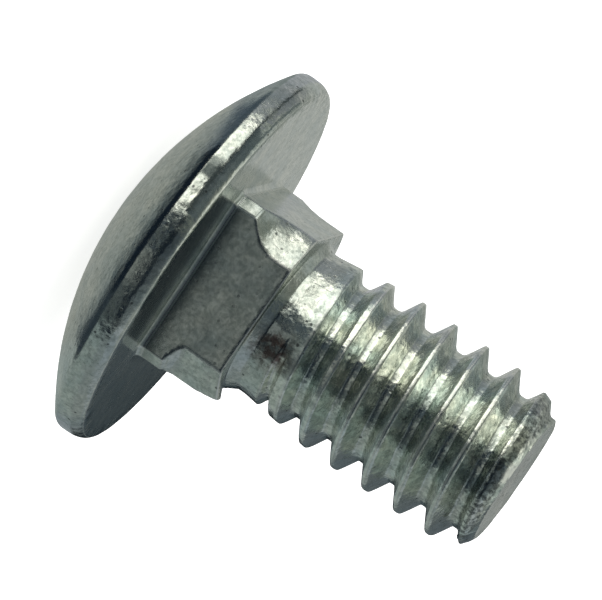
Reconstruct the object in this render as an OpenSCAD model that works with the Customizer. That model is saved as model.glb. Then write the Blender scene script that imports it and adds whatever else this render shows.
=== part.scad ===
// Carriage bolt, 1/4-20 UNC x 1/2 in: low domed head, square neck, full rolled thread.
// +Z runs from the head to the tip and z = 0 is the bearing face under the head.
// The bolt stands on its dome with the thread up, and the neck's flats face X and Y.

/* [Head] */
// Head diameter over the rim
head_d = 14.36; // [13.4:0.02:15.2]
// Head height, from the bearing face to the top of the dome
head_h = 3.45; // [3:0.05:4]
// Height of the rim, from the bearing face to the edge that it makes with the dome
rim_h = 1.04; // [0.8:0.02:1.5]
// How far the bevel at the bearing face runs down the rim
rim_bevel_len = 0.36; // [0.1:0.02:0.5]
// How far the same bevel runs in over the bearing face
rim_bevel_w = 0.22; // [0.1:0.02:0.5]
// Rounding between the rim and the dome
dome_edge_r = 0.2; // [0.1:0.02:0.36]

/* [Square neck] */
// Width of the neck across its flats
neck_w = 6.44; // [6.2:0.02:6.8]
// Length of the flats, from the bearing face to the neck's end
neck_len = 2.72; // [2.2:0.02:3.6]
// Radius over the neck's corners near the head
corner_r_head = 4.28; // [4.16:0.02:4.6]
// Radius over the neck's corners at its end, where the forging doesn't fill the die
corner_r_end = 3.8; // [3.7:0.02:4.1]
// Length of the neck, from the bearing face, over which its corners are full
corner_full_len = 0.95; // [0.4:0.05:1.2]
// Length over which the corners then thin out
corner_step_len = 0.8; // [0.3:0.05:0.9]
// Hollow fillet between the neck and the bearing face
neck_fillet_r = 0.2; // [0.1:0.02:0.4]
// Bevel round the neck's end
neck_end_bevel = 0.08; // [0.04:0.01:0.14]

/* [Shank] */
// Diameter of the plain shank, the blank that the thread is rolled on
shank_d = 5.53; // [5.3:0.01:5.7]
// Diameter of the flare where the shank leaves the neck
flare_d = 6.1; // [5.8:0.02:6.15]
// Length of the flare, from the neck's end to the plain shank
flare_len = 0.42; // [0.2:0.02:0.6]
// Length of the plain shank, from the flare to the first turn
plain_len = 0.3; // [0.2:0.02:0.8]

/* [Thread] */
// Length of the bolt, from the bearing face to its tip
bolt_len = 12.45; // [10:0.05:18]
// Major diameter, over the crests
thread_d = 6.24; // [6.1:0.01:6.34]
// Diameter over the roots
root_d = 4.88; // [4.7:0.01:5.1]
// Pitch, 20 threads to the inch
pitch = 1.27; // [1.1:0.01:1.5]
// Width of the flat on a full crest
crest_w = 0.16; // [0.08:0.01:0.26]
// Included angle of the thread
thread_angle = 60; // [55:1:66]
// Length over which the crests rise from the shank's size to the major diameter
crest_rise_len = 2.8; // [1:0.1:3.6]
// Length over which the first groove deepens
run_out_len = 0.55; // [0.3:0.05:1.2]
// Height above the bearing face of one crest, on the +X side
crest_phase = 0.94; // [0:0.01:1.27]

/* [Tip] */
// Length of the tapered point
point_len = 1.25; // [0.6:0.05:1.8]
// Diameter at the end of the taper
point_d = 5.46; // [5.1:0.02:5.8]
// Length of the bevel round the end face
end_bevel_len = 0.2; // [0.08:0.02:0.4]
// Diameter of the flat end face
end_d = 4.68; // [4.2:0.02:5]

/* [Hidden] */
head_r = head_d / 2;
// the dome is a ball's cap, through the rim's edge and the top of the head
dome_rise = head_h - rim_h;
dome_r = (head_r * head_r + dome_rise * dome_rise) / (2 * dome_rise);
dome_z = dome_r - head_h;
// the rounding between rim and dome touches both
dome_edge_x = head_r - dome_edge_r;
dome_edge_z = dome_z - sqrt(pow(dome_r - dome_edge_r, 2) - pow(dome_edge_x, 2));
// it stops a little short of the dome and runs straight into it
meet_deg = 8;
dome_edge_turn = 90 - asin(dome_edge_x / (dome_r - dome_edge_r)) - meet_deg;
dome_edge_run = 0.5;
neck_half = neck_w / 2;
flare_end = neck_len + flare_len;
thread_start = flare_end + plain_len;
shank_r = shank_d / 2;
thread_r = thread_d / 2;
root_r = root_d / 2;
point_start = bolt_len - point_len;
bevel_start = bolt_len - end_bevel_len;
flank = tan(thread_angle / 2);
// the threaded core starts inside the shank, a little under its skin
core_gap = 0.02;
core_start = flare_end - 0.4;
round_fn = 96;
arc_steps = 6;
fillet_steps = 4;
// the thread's grid: columns round the axis, and rows that follow the helix
cols = 60;
turn_deg = 360 / cols;
// rows of one turn, as shares of the pitch from a crest's middle
crest_edge = crest_w / 2 / pitch;
root_edge = min(crest_edge + (thread_r - root_r) * flank / pitch, 0.46);
flank_mid = (crest_edge + root_edge) / 2;
row_at = [-crest_edge, crest_edge, flank_mid, root_edge, 1 - root_edge, 1 - flank_mid];
rows_per_turn = len(row_at);
first_turn = floor((core_start - crest_phase) / pitch) - 2;
turns = ceil((bolt_len - core_start) / pitch) + 4;
last_row = turns * rows_per_turn;

// Points of an arc round c, from angle a0 to a1
function arc(c, r, a0, a1, n) =
    [for (i = [0:n]) c + r * [cos(a0 + (a1 - a0) * i / n), sin(a0 + (a1 - a0) * i / n)]];

// Radius of the threaded blank at height z: shank, rising crests, full size, point, bevel
function blank_r(z) =
    z < thread_start ? shank_r - core_gap :
    lookup(z, [
        [thread_start, shank_r - core_gap],
        [thread_start + crest_rise_len, thread_r],
        [point_start, thread_r],
        [bevel_start, point_d / 2],
        [bolt_len, end_d / 2]
    ]);

// Share of a pitch from the nearest crest's middle, 0 on the crest and 0.5 in the root
function off_crest(a, z) =
    let (s = (z - crest_phase) / pitch - a / 360)
    abs(s - floor(s + 0.5));

// Radius of the rolled groove, which is lifted clear of the blank before the thread starts
function groove_r(a, z) =
    let (down = max(off_crest(a, z) - crest_edge, 0) * pitch / flank)
    let (lift = max(thread_start + run_out_len - z, 0) * (shank_r - root_r) / run_out_len)
    max(thread_r - down, root_r) + lift;

function skin_r(a, z) = min(blank_r(z), groove_r(a, z));

// Height of row k in column i, following the helix
function helix_z(i, k) =
    let (turn = floor(k / rows_per_turn))
    crest_phase + pitch * (first_turn + turn + row_at[k - turn * rows_per_turn] + i / cols);

// Rows that would pass an end of the core all become that end's one row
function row(i, k) =
    k <= 0 || helix_z(i, k) <= core_start ? 0 :
    k >= last_row || helix_z(i, k) >= bolt_len ? last_row : k;

function point_of(i, k) =
    let (a = i * turn_deg)
    let (z = row(i, k) == 0 ? core_start : row(i, k) == last_row ? bolt_len : helix_z(i, k))
    let (r = skin_r(a, z))
    [r * cos(a), r * sin(a), z];

// Column cols is column 0 again, one turn of rows further on
function index_of(i, k) =
    i == cols ? row(0, min(k + rows_per_turn, last_row)) : i * (last_row + 1) + row(i, k);

module threaded_core() {
    points = [for (i = [0:cols - 1]) for (k = [0:last_row]) point_of(i, k)];
    quads = [
        for (i = [0:cols - 1])
        for (k = [i == cols - 1 ? -rows_per_turn : 0 : last_row - 1])
            [index_of(i, k), index_of(i + 1, k), index_of(i + 1, k + 1), index_of(i, k + 1)]
    ];
    sides = [
        for (q = quads)
        for (t = [[q[0], q[2], q[1]], [q[0], q[3], q[2]]])
            if (t[0] != t[1] && t[1] != t[2] && t[2] != t[0]) t
    ];
    bottom = [for (i = [0:cols - 1]) index_of(i, 0)];
    top = [for (i = [cols - 1:-1:0]) index_of(i, last_row)];
    polyhedron(points = points, faces = concat(sides, [bottom], [top]), convexity = 10);
}

// The head without its dome: a thick disc, bevelled at the bearing face and rounded at the dome
module rim() {
    edge = arc([dome_edge_x, dome_edge_z], dome_edge_r, 0, -dome_edge_turn, arc_steps);
    last = edge[arc_steps];
    run = dome_edge_run * [-sin(dome_edge_turn), -cos(dome_edge_turn)];
    rotate_extrude($fn = round_fn)
        polygon(concat(
            [[0, 0], [head_r - rim_bevel_w, 0], [head_r, -rim_bevel_len]],
            edge,
            [last + run, [last[0] + run[0], -head_h - 1], [0, -head_h - 1]]
        ));
}

module head() {
    intersection() {
        rim();
        translate([0, 0, dome_z])
            sphere(r = dome_r, $fn = round_fn * 2);
    }
}

// Side view of the neck: flats, the hollow fillet at the head and the bevel at the end
module neck_side(far) {
    left = arc([-neck_half - neck_fillet_r, neck_fillet_r], neck_fillet_r, -90, 0, fillet_steps);
    linear_extrude(height = 2 * far, center = true)
        polygon(concat(
            [[neck_half + neck_fillet_r, -0.4], [-neck_half - neck_fillet_r, -0.4]],
            left,
            [[-neck_half, neck_len - neck_end_bevel], [-neck_half + neck_end_bevel, neck_len]],
            [[neck_half - neck_end_bevel, neck_len], [neck_half, neck_len - neck_end_bevel]],
            [for (i = [fillet_steps:-1:0]) [-left[i][0], left[i][1]]]
        ));
}

// Everything that the neck's corners can reach: full near the head, thinner towards the end
module corner_reach() {
    below = -0.5;
    above = neck_len + 0.5;
    rotate_extrude($fn = round_fn)
        polygon([
            [0, below], [corner_r_head, below], [corner_r_head, corner_full_len],
            [corner_r_end, corner_full_len + corner_step_len], [corner_r_end, above], [0, above]
        ]);
}

// A square prism, made of both side views, with its corners cut to their reach
module neck() {
    far = neck_half + neck_fillet_r + 1;
    intersection() {
        rotate([90, 0, 0]) neck_side(far);
        rotate([90, 0, 90]) neck_side(far);
        corner_reach();
    }
}

// The flare and the plain shank
module shank() {
    rotate_extrude($fn = round_fn)
        polygon([
            [0, neck_len - 0.5], [flare_d / 2, neck_len - 0.5], [flare_d / 2, neck_len],
            [shank_r, flare_end], [shank_r, thread_start], [0, thread_start]
        ]);
}

module carriage_bolt() {
    color("silver")
        union() {
            head();
            neck();
            shank();
            threaded_core();
        }
}

carriage_bolt();
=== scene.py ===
"""A zinc-plated carriage bolt standing on its domed head, seen as in the photograph.

The bolt is one closed skin, grown by a Geometry Nodes tree from the side line of the forged
blank: the line is turned round the axis, squared off over the neck, and the thread is rolled
on along its helix. All sizes are in millimetres until the tree's last step.
"""
import math

import bpy
from mathutils import Matrix, Vector

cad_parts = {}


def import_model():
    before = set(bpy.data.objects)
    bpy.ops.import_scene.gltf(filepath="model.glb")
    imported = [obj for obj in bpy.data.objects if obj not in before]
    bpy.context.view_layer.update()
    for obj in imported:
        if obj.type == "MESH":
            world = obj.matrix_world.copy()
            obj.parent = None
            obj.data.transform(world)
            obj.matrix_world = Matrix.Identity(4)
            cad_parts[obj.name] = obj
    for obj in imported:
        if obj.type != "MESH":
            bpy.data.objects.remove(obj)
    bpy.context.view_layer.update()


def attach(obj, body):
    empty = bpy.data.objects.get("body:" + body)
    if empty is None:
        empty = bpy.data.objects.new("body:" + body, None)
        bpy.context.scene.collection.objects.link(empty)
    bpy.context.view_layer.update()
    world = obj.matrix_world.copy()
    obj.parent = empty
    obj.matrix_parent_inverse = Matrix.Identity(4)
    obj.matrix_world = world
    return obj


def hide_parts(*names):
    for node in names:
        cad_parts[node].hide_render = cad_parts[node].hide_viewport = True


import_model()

MM = 0.001

# Sizes of the real bolt
HEAD_R, HEAD_H, RIM_H = 7.18, 3.45, 1.04
DOME_EDGE_R = 0.34
RIM_BEVEL_LEN, RIM_BEVEL_W = 0.36, 0.22  # the bevel between the rim and the bearing face
RIM_SOFT = 0.19  # both corners of that bevel are eased over this length
RIM_CROWN_R, RIM_CROWN_Z = 5.0, -0.82  # the rim bulges, most at this height
NECK_LEN, NECK_FILLET, NECK_BEVEL = 2.72, 0.2, 0.08
FLARE_R, FLARE_LEN = 3.0, 0.42

# what the tree asks for, as its named inputs
BOLT_SIZES = {
    "Neck width": 6.44,
    "Neck draft": 0.06,  # how much narrower the flats are at the neck's end
    "Lower flat draft": 0.17,  # how far the flat that faces +X falls away at the neck's end
    "Head tilt": 0.008,  # rise of the head's -X side, per mm from the axis
    "Corner radius at head": 4.28,
    "Corner radius at end": 3.8,
    "Corner step start": 0.95,  # where the forging stops filling the corners
    "Corner step end": 2.13,  # and where they have thinned out
    "Corner step shorter": 0.75,  # how much sooner the +X -Y corner reaches its thin end
    "Corner fullness": 0.2,  # more metal on the +X side of the +X -Y corner
    "Corner ear": 0.34,  # the same corner is drawn out past the neck's end
    "Ear start": 1.9,  # height from which it is drawn out
    "Neck length": NECK_LEN,
    "Neck end lean": 0.2,  # how much longer the neck is on its -X side than on its +X side
    "Lean start": 1.5,  # height from which that side is longer
    "Shank radius": 2.765,
    "Thread start": 3.44,
    "Crest rise": 2.8,  # length over which the crests grow to their full size
    "Run-out start": 3.8,  # height where the first groove starts
    "Run-out": 0.4,  # length over which it sinks in
    "Run-out lift": 0.6,  # how far the groove is lifted, clear of the blank, before it starts
    "Rubbed and highlit from": 4.5,  # height from which the crests are fully rubbed and carry their full painted highlight line
    "Thread radius": 3.12,
    "Root radius": 2.43,
    "Pitch": 1.27,
    "Crest width": 0.16,
    "Flank slope": math.tan(math.radians(30)),
    "Crest phase": 0.94,
    "Bolt length": 12.45,
    "Point length": 1.25,
    "Point radius": 2.73,
    "End bevel": 0.2,
    "End radius": 2.34,
    "Crest rounding": 0.07,
    "Root rounding": 0.2,
    "Edge rounding": 0.04,
    "Wear": 0.03,  # how deep the unevenness of the skin goes
    "Tip wear": 0.07,  # and how deep at the tip, which it reaches between the next two heights
    "Tip wear start": 11.3,
    "Tip wear full": 12.2,
}
# places across the +X -Y corner, 0 on its line and more towards +X
FULLER_SIDE, EAR_RISE, EAR_FALL = (-0.3, 0.3), (-0.34, 0.16), (0.2, 0.6)
CORNER_SECTOR = (0.8, 0.95)  # cosines from that corner's line, where its own form comes in
NECK_RUB_AND_HIGHLIGHT = 0.035  # the neck's edges are rubbed, and painted lighter as highlight lines, where flats and corners come this close
CREST_RUB_AND_HIGHLIGHT = (0.01, 0.045)  # from the middle of the rubbed and painted highlight line: fully rubbed and highlit, and neither
EDGE_RUB_AND_HIGHLIGHT, END_RUB_AND_HIGHLIGHT = 0.8, 0.5  # how rubbed, and painted lighter as highlight lines, the bearing face's edges are, and the end face's
DOME_CALM = 0.6  # the die leaves the dome less smooth than the bearing face
END_DISH = 0.1  # depth of the hollow in the end face

COLUMNS, COLUMN_CROWDING = 240, 0.18  # round the axis, and how much they crowd at the corners
CREST_ROWS, FLANK_ROWS, ROOT_ROWS = 4, 7, 6
TURN_ROWS = CREST_ROWS + 2 * FLANK_ROWS + ROOT_ROWS
LEAST_FLANK = 0.04  # share of the pitch that a flank keeps where the crest is cut wide
SEED = 7  # of the skin's unevenness

# Places of marks on the plate
STAIN_SPOT = (0.5, -2.7, 3.7)
LAST_TURN_FROM, LAST_TURN_TO = 11.2, 12.36


# Small helpers
def add(tree, kind, *values, at=None, **settings):
    """Add one node: its settings by name, then a value, socket or node for each input in turn."""
    node = tree.nodes.new(kind)
    for name, setting in settings.items():
        setattr(node, name, setting)
    pairs = list(zip([s for s in node.inputs if s.enabled], values))
    pairs += [(node.inputs[name], value) for name, value in (at or {}).items()]
    for socket, value in pairs:
        if isinstance(value, bpy.types.Node):
            value = next(s for s in value.outputs if s.enabled)
        if isinstance(value, bpy.types.NodeSocket):
            tree.links.new(value, socket)
        elif value is not None:
            socket.default_value = value
    return node


def linear(hex_colour):
    """An sRGB hex colour as linear RGBA."""
    parts = [int(hex_colour[i:i + 2], 16) / 255 for i in (1, 3, 5)]
    return [c / 12.92 if c <= 0.04045 else ((c + 0.055) / 1.055) ** 2.4 for c in parts] + [1.0]


def arc(centre, radius, start, end, steps):
    """Points of an arc, from one angle in degrees to another."""
    turns = [math.radians(start + (end - start) * i / steps) for i in range(steps + 1)]
    return [(centre[0] + radius * math.cos(a), centre[1] + radius * math.sin(a)) for a in turns]


def eased(before, corner, after, size, steps):
    """A corner as a short curve that leaves one side and joins the other `size` away."""
    corner = Vector(corner)
    start = corner + (Vector(before) - corner).normalized() * size
    end = corner + (Vector(after) - corner).normalized() * size
    ways = [i / steps for i in range(steps + 1)]
    return [tuple(start.lerp(corner, w).lerp(corner.lerp(end, w), w)) for w in ways]


# Zinc plate
def zinc_plate():
    """Bright zinc, electroplated in a barrel over forged and rolled steel.

    A thin metal skin that mirrors its surroundings softly: it is smudged where the clear
    passivate lies thicker, stippled by the plating, pitted and scratched by the tumbling, drawn
    into fine lines along the rolled thread, and rubbed bright on its edges, where a lighter
    colour also paints highlight lines. It holds dirt on the last turn and has a brown stain on
    the shank.
    """
    material = bpy.data.materials.new("bright_zinc_plate")
    material.use_nodes = True
    tree = material.node_tree
    tree.nodes.clear()
    math_, ranged = "ShaderNodeMath", "ShaderNodeMapRange"
    place = add(tree, "ShaderNodeTexCoord").outputs["Object"]
    mm = add(tree, "ShaderNodeMapping", place, vector_type="POINT", at={"Scale": (1000, 1000, 1000)})
    spot = add(tree, "ShaderNodeSeparateXYZ", mm)

    # clouds of passivate about 1.5 mm across, smudges of 0.4 mm and speckle of 0.15 mm
    clouds = add(tree, "ShaderNodeTexNoise", mm, at={"Scale": 0.7, "Detail": 4.0, "Roughness": 0.6})
    smudges = add(tree, "ShaderNodeTexNoise", mm, at={"Scale": 2.4, "Detail": 4.0, "Roughness": 0.65,
                                                      "Distortion": 0.6})
    speckle = add(tree, "ShaderNodeTexNoise", mm, at={"Scale": 6.5, "Detail": 3.0, "Roughness": 0.7})
    cloudy = add(tree, ranged, clouds, 0.38, 0.62, 0.0, 1.0)
    clean = add(tree, ranged, smudges, 0.40, 0.58, 0.0, 1.0)
    specked = add(tree, ranged, speckle, 0.38, 0.60, 0.0, 1.0)

    # fine lines along the rolled thread, about 0.05 mm apart
    off_crest = add(tree, "ShaderNodeAttribute", attribute_name="off_crest").outputs["Fac"]
    on_thread = add(tree, ranged, off_crest, -0.5, 0.0, 0.0, 1.0)
    across = add(tree, math_, off_crest, 22.0, operation="MULTIPLY")
    drawn = add(tree, "ShaderNodeCombineXYZ", add(tree, math_, spot.outputs["X"], 0.6, operation="MULTIPLY"),
                add(tree, math_, spot.outputs["Y"], 0.6, operation="MULTIPLY"), across)
    lines = add(tree, "ShaderNodeTexNoise", drawn, at={"Scale": 1.0, "Detail": 2.0})

    # pits up to 0.12 mm wide, in some of the cells of a 0.4 mm pattern
    cells = add(tree, "ShaderNodeTexVoronoi", mm, at={"Scale": 2.6})
    chosen = add(tree, math_, add(tree, "ShaderNodeSeparateColor", cells.outputs["Color"]).outputs[0], 0.55,
                 operation="GREATER_THAN")
    pit = add(tree, math_, add(tree, ranged, cells.outputs["Distance"], 0.08, 0.17, 1.0, 0.0), chosen,
              operation="MULTIPLY")
    # hairlines that lean across the part, a few to the millimetre
    leaning = add(tree, "ShaderNodeMapping", mm, vector_type="POINT",
                  at={"Rotation": (0.5, 0.9, 0.3), "Scale": (1.2, 22.0, 1.2)})
    hair = add(tree, "ShaderNodeTexNoise", leaning, at={"Scale": 1.0, "Detail": 1.0})
    scratch = add(tree, math_, add(tree, ranged, hair, 0.66, 0.72, 0.0, 0.5),
                  add(tree, ranged, clouds, 0.5, 0.6, 0.0, 1.0), operation="MULTIPLY")
    rubbed_and_highlit, calm = (add(tree, "ShaderNodeAttribute", attribute_name=name).outputs["Fac"]
                    for name in ("rubbed_and_highlit", "calm"))
    mark = add(tree, math_, add(tree, math_, pit, scratch, operation="MAXIMUM"),
               add(tree, ranged, calm, 0.0, 1.0, 1.0, 0.35), operation="MULTIPLY")

    tone = add(tree, "ShaderNodeMix", cloudy, linear("#C4CCCA"), linear("#E0E2DA"), data_type="RGBA")
    # the passivate shows yellow and green where it lies thick in the thread
    thick = add(tree, "ShaderNodeSeparateColor", clouds.outputs["Color"]).outputs[1]
    tint = add(tree, "ShaderNodeMix", add(tree, ranged, thick, 0.42, 0.56, 0.0, 1.0),
               linear("#E2ECE7"), linear("#F2F3E8"), data_type="RGBA")
    tone = add(tree, "ShaderNodeMix", add(tree, math_, on_thread, 0.9, operation="MULTIPLY"), tone, tint,
               data_type="RGBA")
    # smudges and speckle show most on the thread and least on the calm faces
    strong = add(tree, math_, on_thread, add(tree, math_, calm, -0.6, operation="MULTIPLY"), operation="ADD")
    soiled = add(tree, math_, add(tree, math_, 1.0, clean, operation="SUBTRACT"),
                 add(tree, ranged, strong, -0.6, 1.0, 0.15, 0.42), operation="MULTIPLY")
    grained = add(tree, math_, add(tree, math_, 1.0, specked, operation="SUBTRACT"),
                  add(tree, ranged, strong, -0.6, 1.0, 0.5, 0.42), operation="MULTIPLY")
    tone = add(tree, "ShaderNodeMix", soiled, tone, linear("#7D8A84"), data_type="RGBA")
    tone = add(tree, "ShaderNodeMix", grained, tone, linear("#8F9A94"), data_type="RGBA")
    tone = add(tree, "ShaderNodeMix", add(tree, math_, mark, 0.75, operation="MULTIPLY"), tone,
               linear("#45494C"), data_type="RGBA")
    # the last turn, short of the end face, is rough and holds dirt in its hollows
    height = spot.outputs["Z"]
    last_turn = add(tree, math_, add(tree, ranged, height, LAST_TURN_FROM, LAST_TURN_FROM + 0.7, 0.0, 0.8),
                    add(tree, ranged, height, LAST_TURN_TO - 0.08, LAST_TURN_TO, 1.0, 0.0),
                    operation="MULTIPLY")
    dirty = add(tree, math_, add(tree, math_, 1.0, specked, operation="SUBTRACT"), last_turn,
                operation="MULTIPLY")
    tone = add(tree, "ShaderNodeMix", dirty, tone, linear("#4A4E50"), data_type="RGBA")
    # a brown stain that fades out 1 mm from its middle, on the shank where the thread starts
    near_stain = add(tree, "ShaderNodeVectorMath", mm, STAIN_SPOT, operation="DISTANCE")
    stained = add(tree, math_, add(tree, ranged, near_stain.outputs["Value"], 0.35, 1.05, 0.9, 0.0),
                  add(tree, ranged, smudges, 0.40, 0.55, 1.0, 0.35), operation="MULTIPLY")
    tone = add(tree, "ShaderNodeMix", stained, tone, linear("#685450"), data_type="RGBA")
    # rubbed edges in a lighter colour, which also paints highlight lines along edges, crests and the neck's
    # hollow foot
    colour = add(tree, "ShaderNodeMix", add(tree, math_, rubbed_and_highlit, 0.8, operation="MULTIPLY"), tone,
                 linear("#F0F0EC"), data_type="RGBA")

    # dull where it is smudged, and on the rubbed edges and painted highlight lines
    dull = add(tree, ranged, clean, 0.0, 1.0, 0.30, 0.15)
    grainy = add(tree, math_, add(tree, ranged, specked, 0.0, 1.0, 0.06, -0.05), dull, operation="ADD")
    pressed = add(tree, "ShaderNodeMix", add(tree, math_, calm, 0.8, operation="MULTIPLY"), grainy, 0.24,
                  data_type="FLOAT")
    rough = add(tree, "ShaderNodeMix", add(tree, math_, rubbed_and_highlit, mark, operation="MAXIMUM"), pressed, 0.4,
                data_type="FLOAT")

    # stipple of the plating, about 0.1 mm, over soft dents of about 0.5 mm
    stipple = add(tree, "ShaderNodeTexNoise", mm, at={"Scale": 9.0, "Detail": 3.0, "Roughness": 0.6})
    dents = add(tree, "ShaderNodeTexNoise", mm, at={"Scale": 2.0, "Detail": 2.0, "Roughness": 0.5})
    fine = add(tree, "ShaderNodeBump", at={
        "Strength": add(tree, ranged, calm, 0.0, 1.0, 0.75, 0.1).outputs[0],
        "Distance": 0.00001, "Height": stipple.outputs["Fac"]})
    rolled = add(tree, "ShaderNodeBump", at={
        "Strength": add(tree, math_, on_thread, 0.2, operation="MULTIPLY").outputs[0],
        "Distance": 0.00001, "Height": lines.outputs["Fac"], "Normal": fine.outputs[0]})
    marked = add(tree, "ShaderNodeBump", invert=True, at={
        "Strength": 0.5, "Distance": 0.00001, "Height": mark.outputs[0], "Normal": rolled.outputs[0]})
    normal = add(tree, "ShaderNodeBump", at={
        "Strength": add(tree, ranged, calm, 0.0, 1.0, 0.9, 0.15).outputs[0],
        "Distance": 0.00005, "Height": dents.outputs["Fac"], "Normal": marked.outputs[0]})
    skin = add(tree, "ShaderNodeBsdfPrincipled", at={
        "Base Color": colour, "Metallic": 1.0, "Roughness": rough, "Normal": normal})
    add(tree, "ShaderNodeOutputMaterial", skin)
    return material


# The blank's side line
def side_line():
    """The blank from the top of its dome to the thread, then its end face, as a mesh of points.

    A point is (radius where the blank is round, distance outside the square, height, square,
    rubbed and highlit, calm). Square says which of the first two counts: 0 on the head and
    shank, 1 on the neck. Rubbed and highlit is 1 where other bolts have polished an edge and
    where a lighter colour paints a highlight line, as in the neck's hollow foot, and calm is 1
    on the broad faces that the dies press smooth.
    """
    rise = HEAD_H - RIM_H
    dome_r = (HEAD_R ** 2 + rise ** 2) / (2 * rise)
    dome_z = dome_r - HEAD_H
    edge_x = HEAD_R - DOME_EDGE_R
    edge_z = dome_z - math.sqrt((dome_r - DOME_EDGE_R) ** 2 - edge_x ** 2)
    meet = math.degrees(math.atan2(edge_z - dome_z, edge_x))
    rim_top = -RIM_BEVEL_LEN - RIM_SOFT
    crowned = [(HEAD_R - (z - RIM_CROWN_Z) ** 2 / (2 * RIM_CROWN_R), z)
               for z in (edge_z + (rim_top - edge_z) * i / 7 for i in range(1, 8))]
    bevel_foot, bevel_top = (crowned[-1][0], -RIM_BEVEL_LEN), (HEAD_R - RIM_BEVEL_W, 0)
    inner = HEAD_R - RIM_BEVEL_W - RIM_SOFT

    dome = arc((0, dome_z), dome_r, -90, meet, 30)
    dome[0] = (0.0, -HEAD_H)
    dome += arc((edge_x, edge_z), DOME_EDGE_R, meet, 0, 7)[1:]
    bevel = eased(crowned[-1], bevel_foot, bevel_top, RIM_SOFT, 4)[1:]
    edge = eased(bevel_foot, bevel_top, (0, 0), RIM_SOFT, 8)
    points = [(x, 0.0, z, 0.0, 0.0, DOME_CALM) for x, z in dome]
    points += [(x, 0.0, z, 0.0, 0.0, 0.0) for x, z in crowned + bevel]
    # the edge of the bearing face, rubbed along its middle, where the lighter colour also paints a highlight
    # line
    points += [(x, 0.0, z, 0.0, EDGE_RUB_AND_HIGHLIGHT if i == 4 else 0.0, 0.0) for i, (x, z) in enumerate(edge)]
    # across the bearing face, from the round rim to the square foot of the neck
    points += [(inner, NECK_FILLET, 0.0, i / 8, 0.0, 1.0) for i in range(1, 9)]
    # up the hollow foot, with a painted highlight line where it meets the flats, and a row close above it
    foot = arc((NECK_FILLET, NECK_FILLET), NECK_FILLET, -90, -180, 5)[1:]
    points += [(0.0, gap, z, 1.0, EDGE_RUB_AND_HIGHLIGHT if i == 4 else 0.0, 1.0) for i, (gap, z) in enumerate(foot)]
    points.append((0.0, 0.0, NECK_FILLET + 0.03, 1.0, 0.0, 1.0))
    flat = NECK_LEN - NECK_BEVEL - NECK_FILLET
    points += [(0.0, 0.0, NECK_FILLET + flat * i / 26, 1.0, 0.0, 1.0) for i in range(1, 26)]
    end = arc((-NECK_BEVEL, NECK_LEN - NECK_BEVEL), NECK_BEVEL, 0, 90, 4)
    # the neck's end edge is rubbed, and painted lighter as a highlight line, along two of its rows
    points += [(0.0, gap, z, 1.0, 1.0 if i in (1, 2) else 0.0, 0.0) for i, (gap, z) in enumerate(end)]
    # down the step at the neck's end and along the flare
    points += [(FLARE_R, -NECK_BEVEL, NECK_LEN, 1 - i / 6, 0.0, 0.0) for i in range(1, 7)]
    shank, start = BOLT_SIZES["Shank radius"], BOLT_SIZES["Thread start"]
    for i in range(1, 8):
        r, z = FLARE_R + (shank - FLARE_R) * i / 7, NECK_LEN + FLARE_LEN * i / 7
        points.append((r, 0.0, z, 0.0, 0.0, 0.0))
    flare_end = NECK_LEN + FLARE_LEN
    for i in range(1, 5):
        points.append((shank, 0.0, flare_end + (start - flare_end) * i / 4, 0.0, 0.0, 0.0))
    last_before_thread = len(points) - 1
    # the end face, a little dished, its outer row rubbed and painted lighter as a highlight line
    end_r, tip = BOLT_SIZES["End radius"], BOLT_SIZES["Bolt length"]
    for i in range(9):
        r = end_r * (1 - i / 8)
        z = tip - END_DISH * (1 - (r / end_r) ** 2)
        points.append((r, 0.0, z, 0.0, END_RUB_AND_HIGHLIGHT if i == 0 else 0.0, 0.0))

    mesh = bpy.data.meshes.new("side_line")
    mesh.from_pydata([p[:3] for p in points], [], [])
    for place, name in ((3, "square"), (4, "rubbed_and_highlit"), (5, "calm")):
        share = mesh.attributes.new(name, "FLOAT", "POINT")
        share.data.foreach_set("value", [p[place] for p in points])
    return mesh, last_before_thread


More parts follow.
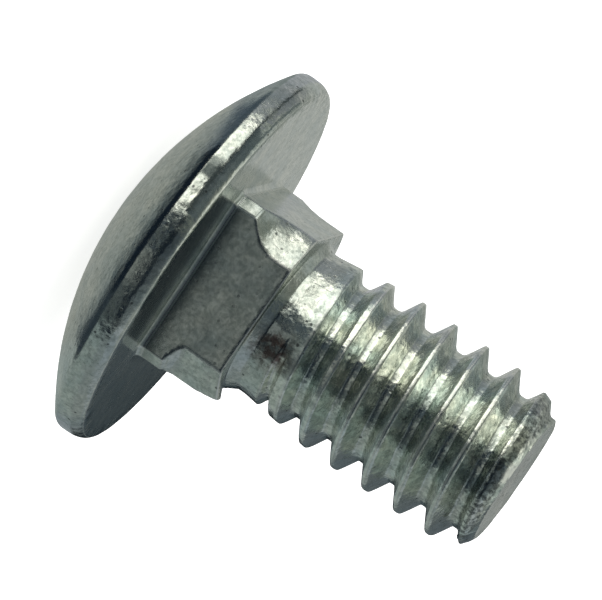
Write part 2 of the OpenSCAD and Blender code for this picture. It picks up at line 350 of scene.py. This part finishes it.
# The bolt's tree
def bolt_tree():
    """Turns the side line, squares the neck, rolls the thread and wears the skin."""
    tree = bpy.data.node_groups.new("carriage_bolt", "GeometryNodeTree")
    face = tree.interface
    face.new_socket("Side line", in_out="INPUT", socket_type="NodeSocketGeometry")
    for name, size in BOLT_SIZES.items():
        face.new_socket(name, in_out="INPUT", socket_type="NodeSocketFloat").default_value = size
    for name in ("Columns", "Last row before thread", "Seed"):
        face.new_socket(name, in_out="INPUT", socket_type="NodeSocketInt")
    face.new_socket("Material", in_out="INPUT", socket_type="NodeSocketMaterial")
    face.new_socket("Bolt", in_out="OUTPUT", socket_type="NodeSocketGeometry")
    size = tree.nodes.new("NodeGroupInput").outputs
    math_, ranged = "ShaderNodeMath", "ShaderNodeMapRange"

    # both skins start as grids: x is the share of a turn and y counts the rows
    spot = add(tree, "ShaderNodeSeparateXYZ", add(tree, "GeometryNodeInputPosition"))
    turned = add(tree, math_, add(tree, math_, spot.outputs["X"], 0.5, operation="ADD"), math.tau,
                 operation="MULTIPLY")
    # columns crowd towards the neck's four corners
    crowd = add(tree, math_, add(tree, math_, turned, 4.0, operation="MULTIPLY"), operation="SINE")
    angle = add(tree, math_, crowd, COLUMN_CROWDING, turned, operation="MULTIPLY_ADD")
    share_of_turn = add(tree, math_, angle, math.tau, operation="DIVIDE")
    along_x = add(tree, math_, angle, operation="COSINE")
    along_y = add(tree, math_, angle, operation="SINE")
    edge_columns = add(tree, math_, size["Columns"], 1.0, operation="ADD")

    # forged skin: head, neck and shank
    rows = add(tree, "GeometryNodeAttributeDomainSize", size["Side line"]).outputs["Point Count"]
    steps = add(tree, math_, rows, 1.0, operation="SUBTRACT")
    forged = add(tree, "GeometryNodeMeshGrid", 1.0, steps, edge_columns, rows)
    row = add(tree, math_, steps, 0.5, spot.outputs["Y"], operation="MULTIPLY_ADD")
    row_number = add(tree, math_, row, operation="ROUND")
    line_spot = add(tree, "GeometryNodeSampleIndex", size["Side line"],
                    add(tree, "GeometryNodeInputPosition"), row_number, data_type="FLOAT_VECTOR")
    line = add(tree, "ShaderNodeSeparateXYZ", line_spot)
    square, rubbed_and_highlit_row, calm = (
        add(tree, "GeometryNodeSampleIndex", size["Side line"],
            add(tree, "GeometryNodeInputNamedAttribute", name, data_type="FLOAT"),
            row_number, data_type="FLOAT") for name in ("square", "rubbed_and_highlit", "calm"))
    height = line.outputs["Z"]
    # the square, whose +X flat falls away at the neck's end
    side_x, side_y = (add(tree, math_, way, operation="ABSOLUTE") for way in (along_x, along_y))
    wider = add(tree, math_, side_x, side_y, operation="MAXIMUM")
    draft = add(tree, ranged, height, 0.0, size["Neck length"], 0.0, size["Neck draft"])
    even_half = add(tree, math_, add(tree, math_, size["Neck width"], draft, operation="SUBTRACT"), 0.5,
                    operation="MULTIPLY")
    lower = add(tree, math_, along_x, side_y, operation="GREATER_THAN")
    falls = add(tree, ranged, height, size["Corner step end"], size["Neck length"], 0.0,
                size["Lower flat draft"])
    half = add(tree, math_, even_half, add(tree, math_, lower, falls, operation="MULTIPLY"),
               operation="SUBTRACT")
    flats = add(tree, math_, half, wider, operation="DIVIDE")
    # its corners, which the forging fills near the head only, and better on one side of +X -Y
    towards = add(tree, math_, add(tree, math_, along_x, along_y, operation="SUBTRACT"),
                  math.sqrt(0.5), operation="MULTIPLY")
    here = add(tree, ranged, towards, *CORNER_SECTOR, 0.0, 1.0)
    sooner = add(tree, math_, here, size["Corner step shorter"], operation="MULTIPLY")
    step_end = add(tree, math_, size["Corner step end"], sooner, operation="SUBTRACT")
    filled = add(tree, ranged, height, size["Corner step start"], step_end, 1.0, 0.0)
    full = add(tree, math_, filled, filled, operation="MULTIPLY")
    to_head = add(tree, math_, size["Corner radius at head"], size["Corner radius at end"],
                  operation="SUBTRACT")
    thin = add(tree, math_, full, to_head, size["Corner radius at end"], operation="MULTIPLY_ADD")
    past = add(tree, math_, along_x, along_y, operation="ADD")
    leaning = add(tree, ranged, past, *FULLER_SIDE, 0.0, size["Corner fullness"],
                  interpolation_type="SMOOTHSTEP")
    fuller = add(tree, math_, add(tree, math_, leaning, here, operation="MULTIPLY"),
                 add(tree, math_, 1.0, full, operation="SUBTRACT"), operation="MULTIPLY")
    corners = add(tree, math_, thin, fuller, operation="ADD")
    squared = add(tree, math_, flats, corners, size["Edge rounding"], operation="SMOOTH_MIN")
    outside = add(tree, math_, squared, line.outputs["Y"], operation="ADD")
    forged_r = add(tree, "ShaderNodeMix", square, line.outputs["X"], outside, data_type="FLOAT")
    # that corner is drawn out into a pointed ear past the neck's end
    rising = add(tree, ranged, past, *EAR_RISE, 0.0, size["Corner ear"])
    falling = add(tree, ranged, past, *EAR_FALL, 1.0, 0.0)
    ear = add(tree, math_, add(tree, math_, rising, falling, operation="MULTIPLY"), here,
              operation="MULTIPLY")
    late = add(tree, ranged, height, size["Ear start"], size["Neck length"], 0.0, square,
               interpolation_type="SMOOTHSTEP")
    eared_z = add(tree, math_, ear, late, height, operation="MULTIPLY_ADD")
    # the neck's end leans, and the flare and shank take it up
    longer = add(tree, ranged, along_x, -1.0, 1.0, size["Neck end lean"], 0.0)
    to_end = add(tree, ranged, height, size["Lean start"], size["Neck length"], 0.0, 1.0)
    past_end = add(tree, ranged, height, size["Neck length"], size["Thread start"], 0.0, -1.0)
    leaning_z = add(tree, math_, longer, add(tree, math_, to_end, past_end, operation="ADD"), eared_z,
                    operation="MULTIPLY_ADD")
    # the head is forged a little out of square with the shank
    forged_x = add(tree, math_, forged_r, along_x, operation="MULTIPLY")
    tilt = add(tree, ranged, height, 0.0, size["Neck length"], size["Head tilt"], 0.0)
    forged_z = add(tree, math_, leaning_z, add(tree, math_, tilt, forged_x, operation="MULTIPLY"),
                   operation="SUBTRACT")
    forged_place = add(tree, "ShaderNodeCombineXYZ", forged_x,
                       add(tree, math_, forged_r, along_y, operation="MULTIPLY"), forged_z)
    # rubbed, and painted lighter as highlight lines, where the side line says so and where the neck's flats
    # meet its corners
    apart = add(tree, math_, add(tree, math_, flats, corners, operation="SUBTRACT"), operation="ABSOLUTE")
    meeting = add(tree, math_, add(tree, ranged, apart, 0.0, NECK_RUB_AND_HIGHLIGHT, 1.0, 0.0), square,
                  operation="MULTIPLY")
    rubbed_and_highlit = add(tree, math_, rubbed_and_highlit_row, meeting, operation="MAXIMUM")
    # the strip of faces between the shank and the end face makes room for the thread
    gap_row = add(tree, math_, size["Last row before thread"], 0.5, operation="ADD")
    gap = add(tree, "FunctionNodeCompare", row, gap_row, data_type="FLOAT", operation="EQUAL",
              at={"Epsilon": 0.25})
    open_forged = add(tree, "GeometryNodeDeleteGeometry", forged, gap, domain="FACE")
    # the corners' thin ends aren't pressed smooth
    at_corner = add(tree, math_, add(tree, math_, flats, corners, operation="GREATER_THAN"),
                    add(tree, math_, square, full, operation="SUBTRACT"), operation="MULTIPLY")
    calm_here = add(tree, math_, calm, add(tree, math_, 1.0, at_corner, operation="SUBTRACT"),
                    operation="MULTIPLY", use_clamp=True)
    marked_forged = add(tree, "GeometryNodeStoreNamedAttribute", open_forged, None, "off_crest", -1.0,
                        data_type="FLOAT", domain="POINT")
    rubbed_and_highlit_forged = add(tree, "GeometryNodeStoreNamedAttribute", marked_forged, None, "rubbed_and_highlit", rubbed_and_highlit,
                        data_type="FLOAT", domain="POINT")
    calm_forged = add(tree, "GeometryNodeStoreNamedAttribute", rubbed_and_highlit_forged, None, "calm", calm_here,
                      data_type="FLOAT", domain="POINT")
    forged_skin = add(tree, "GeometryNodeSetPosition", calm_forged, None, forged_place)

    # threaded skin: rows follow the helix, and stop at the shank and at the tip
    start, pitch, tip = size["Thread start"], size["Pitch"], size["Bolt length"]
    phase, thread_r, shank_r = size["Crest phase"], size["Thread radius"], size["Shank radius"]
    to_start = add(tree, math_, add(tree, math_, start, phase, operation="SUBTRACT"), pitch,
                   operation="DIVIDE")
    first_turn = add(tree, math_, add(tree, math_, to_start, operation="FLOOR"), 1.0,
                     operation="SUBTRACT")
    to_tip = add(tree, math_, add(tree, math_, tip, phase, operation="SUBTRACT"), pitch,
                 operation="DIVIDE")
    turns = add(tree, math_, add(tree, math_, to_tip, operation="CEIL"), first_turn,
                operation="SUBTRACT")
    thread_steps = add(tree, math_, turns, TURN_ROWS, operation="MULTIPLY")
    thread_rows = add(tree, math_, thread_steps, 1.0, operation="ADD")
    threaded = add(tree, "GeometryNodeMeshGrid", 1.0, thread_steps, edge_columns, thread_rows)
    step = add(tree, math_, add(tree, math_, thread_steps, 0.5, spot.outputs["Y"],
                                operation="MULTIPLY_ADD"), operation="ROUND")
    turn = add(tree, math_, add(tree, math_, add(tree, math_, step, 0.25, operation="ADD"),
                                TURN_ROWS, operation="DIVIDE"), operation="FLOOR")
    step_in_turn = add(tree, math_, turn, -TURN_ROWS, step, operation="MULTIPLY_ADD")
    turns_up = add(tree, math_, add(tree, math_, first_turn, share_of_turn, operation="ADD"), turn,
                   operation="ADD")

    def blank_radius(z):
        """Shank, then rising crests, full size, point and bevel, by height."""
        risen = add(tree, math_, start, size["Crest rise"], operation="ADD")
        point = add(tree, math_, tip, size["Point length"], operation="SUBTRACT")
        bevel = add(tree, math_, tip, size["End bevel"], operation="SUBTRACT")
        to_point = add(tree, math_, size["Point radius"], thread_r, operation="SUBTRACT")
        to_end = add(tree, math_, size["End radius"], size["Point radius"], operation="SUBTRACT")
        grown = add(tree, ranged, z, start, risen, shank_r, thread_r)
        pointed = add(tree, ranged, z, point, bevel, 0.0, to_point)
        bevelled = add(tree, ranged, z, bevel, tip, 0.0, to_end)
        return add(tree, math_, add(tree, math_, grown, pointed, operation="ADD"), bevelled,
                   operation="ADD")

    # rows close together on the crest and round the root, wherever the crest is cut wide
    even = add(tree, math_, add(tree, math_, step_in_turn, TURN_ROWS, operation="DIVIDE"), turns_up,
               operation="ADD")
    even_z = add(tree, math_, even, pitch, phase, operation="MULTIPLY_ADD")
    cut = add(tree, math_, thread_r, blank_radius(even_z), operation="SUBTRACT")
    half_crest = add(tree, math_, size["Crest width"], 0.5, operation="MULTIPLY")
    depth = add(tree, math_, thread_r, size["Root radius"], operation="SUBTRACT")
    root = add(tree, math_, add(tree, math_, depth, size["Flank slope"], half_crest,
                                operation="MULTIPLY_ADD"), pitch, operation="DIVIDE")
    wide = add(tree, math_, add(tree, math_, cut, size["Flank slope"], half_crest,
                                operation="MULTIPLY_ADD"), pitch, operation="DIVIDE")
    crest = add(tree, math_, wide, add(tree, math_, root, LEAST_FLANK, operation="SUBTRACT"),
                operation="MINIMUM")
    flank = add(tree, math_, root, crest, operation="SUBTRACT")
    root_width = add(tree, math_, root, -2.0, 1.0, operation="MULTIPLY_ADD")
    crest_width = add(tree, math_, crest, 2.0, operation="MULTIPLY")
    before = add(tree, math_, crest, -1.0, operation="MULTIPLY")
    stops = [0, CREST_ROWS, CREST_ROWS + FLANK_ROWS, CREST_ROWS + FLANK_ROWS + ROOT_ROWS, TURN_ROWS]
    share = before
    for low, high, width in zip(stops, stops[1:], (crest_width, flank, root_width, flank)):
        grown = add(tree, ranged, step_in_turn, float(low), float(high), 0.0, width)
        share = add(tree, math_, share, grown, operation="ADD")
    helix_z = add(tree, math_, add(tree, math_, share, turns_up, operation="ADD"), pitch, phase,
                  operation="MULTIPLY_ADD")
    z = add(tree, math_, add(tree, math_, helix_z, start, operation="MAXIMUM"), tip,
            operation="MINIMUM")

    # the groove: a vee with a rounded root, lifted clear of the blank before the thread starts
    up = add(tree, math_, add(tree, math_, z, phase, operation="SUBTRACT"), pitch, operation="DIVIDE")
    wound = add(tree, math_, up, share_of_turn, operation="SUBTRACT")
    beside = add(tree, math_, add(tree, math_, wound, add(tree, math_, wound, operation="ROUND"),
                                  operation="SUBTRACT"), pitch, operation="MULTIPLY")
    off_crest = add(tree, math_, beside, operation="ABSOLUTE")
    down = add(tree, math_, add(tree, math_, off_crest, half_crest, operation="SUBTRACT"),
               size["Flank slope"], operation="DIVIDE")
    vee = add(tree, math_, add(tree, math_, thread_r, down, operation="SUBTRACT"),
              size["Root radius"], size["Root rounding"], operation="SMOOTH_MAX")
    run = add(tree, math_, size["Run-out start"], size["Run-out"], operation="ADD")
    lifted = add(tree, ranged, z, size["Run-out start"], run, size["Run-out lift"], 0.0)
    groove = add(tree, math_, vee, lifted, operation="ADD")
    blank = blank_radius(z)
    thread_skin_r = add(tree, math_, blank, groove, size["Crest rounding"], operation="SMOOTH_MIN")
    thread_place = add(tree, "ShaderNodeCombineXYZ",
                       add(tree, math_, thread_skin_r, along_x, operation="MULTIPLY"),
                       add(tree, math_, thread_skin_r, along_y, operation="MULTIPLY"), z)
    still_plain = add(tree, ranged, z, size["Run-out start"], run, -1.0, 0.0)
    marked = add(tree, "GeometryNodeStoreNamedAttribute", threaded, None, "off_crest",
                 add(tree, math_, off_crest, still_plain, operation="ADD"), data_type="FLOAT",
                 domain="POINT")
    # rubbed along the crests, on the tip side where they are still wide, which also paints highlight lines
    # on them
    tip_side = add(tree, math_, add(tree, math_, thread_r, blank, operation="SUBTRACT"),
                   size["Flank slope"], operation="MULTIPLY")
    from_line = add(tree, math_, add(tree, math_, beside, tip_side, operation="SUBTRACT"),
                    operation="ABSOLUTE")
    crest_edge = add(tree, ranged, from_line, *CREST_RUB_AND_HIGHLIGHT, 1.0, 0.0)
    risen_edge = add(tree, ranged, z, size["Run-out start"], size["Rubbed and highlit from"], 0.0, 1.0)
    rubbed_and_highlit_thread = add(tree, "GeometryNodeStoreNamedAttribute", marked, None, "rubbed_and_highlit",
                        add(tree, math_, crest_edge, risen_edge, operation="MULTIPLY"),
                        data_type="FLOAT", domain="POINT")
    threaded_skin = add(tree, "GeometryNodeSetPosition", rubbed_and_highlit_thread, None, thread_place)

    # one closed skin
    both = tree.nodes.new("GeometryNodeJoinGeometry")
    tree.links.new(forged_skin.outputs[0], both.inputs[0])
    tree.links.new(threaded_skin.outputs[0], both.inputs[0])
    closed = add(tree, "GeometryNodeMergeByDistance", both, None, 0.0001)

    # wear: the skin sinks in patches of about 0.8 mm, most at the tip
    worn_spot = add(tree, "GeometryNodeInputPosition")
    worn_z = add(tree, "ShaderNodeSeparateXYZ", worn_spot).outputs["Z"]
    unevenness = add(tree, "ShaderNodeTexNoise", worn_spot, size["Seed"], 1.3, 3.0,
                     noise_dimensions="4D")
    at_tip = add(tree, ranged, worn_z, size["Tip wear start"], size["Tip wear full"], size["Wear"],
                 size["Tip wear"])
    sunk = add(tree, math_, add(tree, math_, unevenness.outputs[0], -0.9, operation="MULTIPLY"),
               at_tip, operation="MULTIPLY")
    worn = add(tree, "GeometryNodeSetPosition", closed, None, None,
               add(tree, "ShaderNodeVectorMath", add(tree, "GeometryNodeInputNormal"),
                   at={"Scale": sunk.outputs[0]}, operation="SCALE"))

    # to metres
    metres = add(tree, "GeometryNodeSetPosition", worn, None,
                 add(tree, "ShaderNodeVectorMath", add(tree, "GeometryNodeInputPosition"),
                     at={"Scale": MM}, operation="SCALE"))
    smooth = add(tree, "GeometryNodeSetShadeSmooth", metres, None, True)
    real = add(tree, "GeometryNodeRealizeInstances", smooth)
    plated = add(tree, "GeometryNodeSetMaterial", real, None, size["Material"])
    add(tree, "NodeGroupOutput", plated)
    return tree


def bolt(material):
    """The whole bolt as one plain mesh."""
    line, last_row = side_line()
    seed_object = bpy.data.objects.new("bolt_seed", line)
    bpy.context.scene.collection.objects.link(seed_object)
    modifier = seed_object.modifiers.new("bolt", "NODES")
    modifier.node_group = bolt_tree()
    given = {**BOLT_SIZES, "Columns": COLUMNS, "Last row before thread": last_row, "Seed": SEED,
             "Material": material}
    for item in modifier.node_group.interface.items_tree:
        if item.in_out == "INPUT" and item.name in given:
            modifier[item.identifier] = given[item.name]
    evaluated = seed_object.evaluated_get(bpy.context.evaluated_depsgraph_get())
    mesh = bpy.data.meshes.new_from_object(evaluated)
    seed_object.modifiers.clear()
    bpy.data.objects.remove(seed_object)
    mesh.name = "plated_bolt"
    piece = bpy.data.objects.new("plated_bolt", mesh)
    bpy.context.scene.collection.objects.link(piece)
    return piece


# Camera
TARGET = Vector((-0.8437, 0.1564, 3.1544)) * MM  # the camera looks at this point
CAMERA_DISTANCE, CAMERA_LENS = 160, 288.5
AZIMUTH, ELEVATION, ROLL = math.radians(-10.5), math.radians(8.07), math.radians(124.8)

level = Vector((math.cos(AZIMUTH), math.sin(AZIMUTH), 0))
TO_CAMERA = Vector((math.cos(ELEVATION) * math.sin(AZIMUTH),
                    -math.cos(ELEVATION) * math.cos(AZIMUTH), math.sin(ELEVATION)))
upright = TO_CAMERA.cross(level)
RIGHT = math.cos(ROLL) * level + math.sin(ROLL) * upright
UP = -math.sin(ROLL) * level + math.cos(ROLL) * upright


def camera():
    """At the photograph's viewing angle: 8 degrees above the floor and rolled over."""
    lens = bpy.data.cameras.new("camera")
    lens.lens, lens.sensor_width = CAMERA_LENS, 36.0
    lens.clip_start, lens.clip_end = 0.01, 5.0
    seen_from = bpy.data.objects.new("camera", lens)
    turned = Matrix((RIGHT, UP, TO_CAMERA)).transposed().to_4x4()
    seen_from.matrix_world = Matrix.Translation(TARGET + TO_CAMERA * CAMERA_DISTANCE * MM) @ turned
    bpy.context.scene.collection.objects.link(seen_from)
    bpy.context.scene.camera = seen_from


# Studio
def sheet_object(name, corners, material):
    """A flat panel through four corners."""
    mesh = bpy.data.meshes.new(name)
    mesh.from_pydata(corners, [], [(0, 1, 2, 3)])
    mesh.materials.append(material)
    panel = bpy.data.objects.new(name, mesh)
    bpy.context.scene.collection.objects.link(panel)
    return panel


# What the metal mirrors, as greys by sector round the bolt's axis. The far surroundings come
# first, from straight below to straight above: from, to, then a grey for each band of height
FAR_R, FAR_BANDS = 300, (-90, -50, -4, 25, 55, 90)
FAR_TENT = [
    (-118, -92, "#656A6E", "#343A3E", "#141A20", "#30363A", "#3E4448"),
    (-92, -70, "#6A7074", "#646866", "#161C22", "#363C40", "#3E4448"),
    (-70, -40, "#6A7074", "#363C3E", "#161C22", "#4A5052", "#4E5456"),
    (-40, 40, "#7A8184", "#6E7674", "#666C6C", "#70767A", "#6E7270"),
    (40, 72, "#8A9090", "#6A7074", "#606668", "#767C7A", "#7E827E"),
    (72, 135, "#CCCEC8", "#84868A", "#787A7A", "#868A88", "#B4B6AE"),
    (135, 176, "#D4D6D0", "#6E7276", "#5E6266", "#828682", "#A4A69E"),
    (176, 188, "#EAECE6", "#F4F4EA", "#7E827C", "#62665F", "#585C58"),
    (188, 222, "#EAECE6", "#F4F4EA", "#DCDED6", "#62665F", "#585C58"),
    (222, 242, "#EAECE6", "#F4F4EA", "#7E827C", "#62665F", "#585C58"),
]
# then the near walls behind the bolt, from the floor up
NEAR_R, NEAR_BANDS = 30, (-HEAD_H, 4.3, 10, 40)
NEAR_WALLS = [
    (40, 72, "#10151A", "#2C3438", "#42484C"),
    (72, 84, "#44494C", "#343A3E", "#747674"),
    (84, 135, "#8A8C89", "#8A8C89", "#6E726F"),
]
# then small flags close to the rim, which bound and part the bright streak along it: from, to,
# lowest, highest and their grey
FLAG_R = 7.6
FLAGS = [
    (186, 233, -0.46, -0.3, "#2C3234"),
    (233, 250, -0.6, -0.3, "#2C3234"),
    (232, 235, -1.15, -0.5, "#868A87"),
    (235, 239, -1.15, -0.6, "#585D5C"),
    (216, 250, -0.3, 0.0, "#3A4144"),
    (186, 216, 0.45, 1.1, "#4A5153"),
    (216, 250, 0.0, 1.1, "#454C4E"),
]
# and the mat on the floor: from, to, then a grey for each ring, from beside the rim inwards
MAT_Z, MAT_RINGS = -HEAD_H + 0.02, (11, 5.75, 5.3, 0)
MAT = [
    (-180, -140, "#39424A", "#62686A", "#787B77"),
    (-140, -75, "#10171F", "#4A5254", "#787B77"),
    (-75, -40, "#272E34", "#5C6262", "#777A76"),
    (-40, 135, "#737A78", "#757A77", "#777A75"),
    (135, 180, "#6A7070", "#6E7272", "#7C7F7A"),
]
TENT_GAIN = 2.0  # so that a card can be brighter than white paper
CARD_DEG = 8  # about how wide a card of the far surroundings is
FLOOR_LIFT = 0.75  # what the camera sees the floor glow with, so that it shows as white


def tent_cards():
    """Every card of the tent: its grey and its corners, in millimetres."""
    for start, end, *greys in FAR_TENT:
        steps = round((end - start) / CARD_DEG)
        for grey, low, high in zip(greys, FAR_BANDS, FAR_BANDS[1:]):
            rings = []
            for rise in (low, high):
                out, up = math.cos(math.radians(rise)), math.sin(math.radians(rise))
                rings.append([(x, y, FAR_R * up) for x, y in arc((0, 0), FAR_R * out, start, end, steps)])
            for i in range(steps):
                yield grey, [rings[0][i], rings[0][i + 1], rings[1][i + 1], rings[1][i]]
    for start, end, *greys in NEAR_WALLS:
        ring = arc((0, 0), NEAR_R, start, end, 5)
        for grey, low, high in zip(greys, NEAR_BANDS, NEAR_BANDS[1:]):
            for a, b in zip(ring, ring[1:]):
                yield grey, [(*a, low), (*b, low), (*b, high), (*a, high)]
    for start, end, low, high, grey in FLAGS:
        ring = arc((0, 0), FLAG_R, start, end, 6)
        for a, b in zip(ring, ring[1:]):
            yield grey, [(*a, low), (*b, low), (*b, high), (*a, high)]
    for start, end, *greys in MAT:
        for grey, out, back in zip(greys, MAT_RINGS, MAT_RINGS[1:]):
            ring = arc((0, 0), out, start, end, 16) + arc((0, 0), back, end, start, 16)
            yield grey, [(*p, MAT_Z) for p in ring]


def light_tent():
    """Cards round, over and under the bolt, which nothing but the metal sees."""
    cards = list(tent_cards())
    greys = sorted({grey for grey, corners in cards})
    points, faces = [], []
    for grey, corners in cards:
        faces.append(list(range(len(points), len(points) + len(corners))))
        points += [[c * MM for c in corner] for corner in corners]
    mesh = bpy.data.meshes.new("light_tent")
    mesh.from_pydata(points, [], faces)
    for grey in greys:
        material = bpy.data.materials.new("tent_card")
        material.use_nodes = True
        material.node_tree.nodes.clear()
        glow = add(material.node_tree, "ShaderNodeEmission", linear(grey), TENT_GAIN)
        add(material.node_tree, "ShaderNodeOutputMaterial", glow)
        mesh.materials.append(material)
    mesh.polygons.foreach_set("material_index", [greys.index(grey) for grey, corners in cards])
    tent = bpy.data.objects.new("light_tent", mesh)
    bpy.context.scene.collection.objects.link(tent)
    tent.visible_camera = tent.visible_diffuse = tent.visible_shadow = False
    tent.visible_transmission = False


def softbox(name, hex_colour, strength, azimuth, centre_z, distance, width, height):
    """A soft upright lamp that faces the bolt's axis and lights the floor. The metal mirrors the tent."""
    lamp = bpy.data.lights.new(name, "AREA")
    lamp.shape, lamp.size, lamp.size_y = "RECTANGLE", width * MM, height * MM
    lamp.color = linear(hex_colour)[:3]
    lamp.energy = strength * math.pi * lamp.size * lamp.size_y
    stand = bpy.data.objects.new(name, lamp)
    turn = math.radians(azimuth)
    out = Vector((math.cos(turn), math.sin(turn), 0))
    place = Matrix.Translation(out * distance * MM + Vector((0, 0, centre_z * MM)))
    stand.matrix_world = place @ out.to_track_quat("Z", "Y").to_matrix().to_4x4()
    stand.visible_camera = stand.visible_glossy = False
    bpy.context.scene.collection.objects.link(stand)


def floor():
    """A plain pale floor that carries on into a white background."""
    material = bpy.data.materials.new("pale_floor")
    material.use_nodes = True
    tree = material.node_tree
    tree.nodes.clear()
    path = add(tree, "ShaderNodeLightPath")
    seen = add(tree, "ShaderNodeMath", path.outputs["Is Camera Ray"], path.outputs["Is Glossy Ray"],
               operation="MAXIMUM")
    seen = add(tree, "ShaderNodeMath", seen, path.outputs["Is Transmission Ray"], operation="MAXIMUM")
    paper = add(tree, "ShaderNodeBsdfDiffuse", linear("#E8E8E6"))
    lift = add(tree, "ShaderNodeEmission", linear("#FFFFFF"),
               add(tree, "ShaderNodeMath", seen, FLOOR_LIFT, operation="MULTIPLY"))
    add(tree, "ShaderNodeOutputMaterial", add(tree, "ShaderNodeAddShader", paper, lift))
    z, far = -HEAD_H * MM, 1.5
    paper_sheet = sheet_object("floor", [(-far, -far, z), (far, -far, z), (far, far, z), (-far, far, z)],
                               material)
    paper_sheet.visible_glossy = False


def world():
    """Even white light from all round."""
    sky = bpy.data.worlds.new("studio")
    sky.use_nodes = True
    bpy.context.scene.world = sky
    sky.node_tree.nodes.clear()
    white = add(sky.node_tree, "ShaderNodeBackground", linear("#FFFFFF"), 1.0)
    add(sky.node_tree, "ShaderNodeOutputWorld", white)


# Build
camera()
plated_bolt = bolt(zinc_plate())
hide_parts("carriage_bolt")
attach(plated_bolt, "root")

world()
floor()
softbox("key_light", "#FFFDF4", strength=1.7, azimuth=-147, centre_z=6.6, distance=25, width=29,
        height=20)
light_tent()

bpy.context.scene.view_settings.view_transform = "Standard"
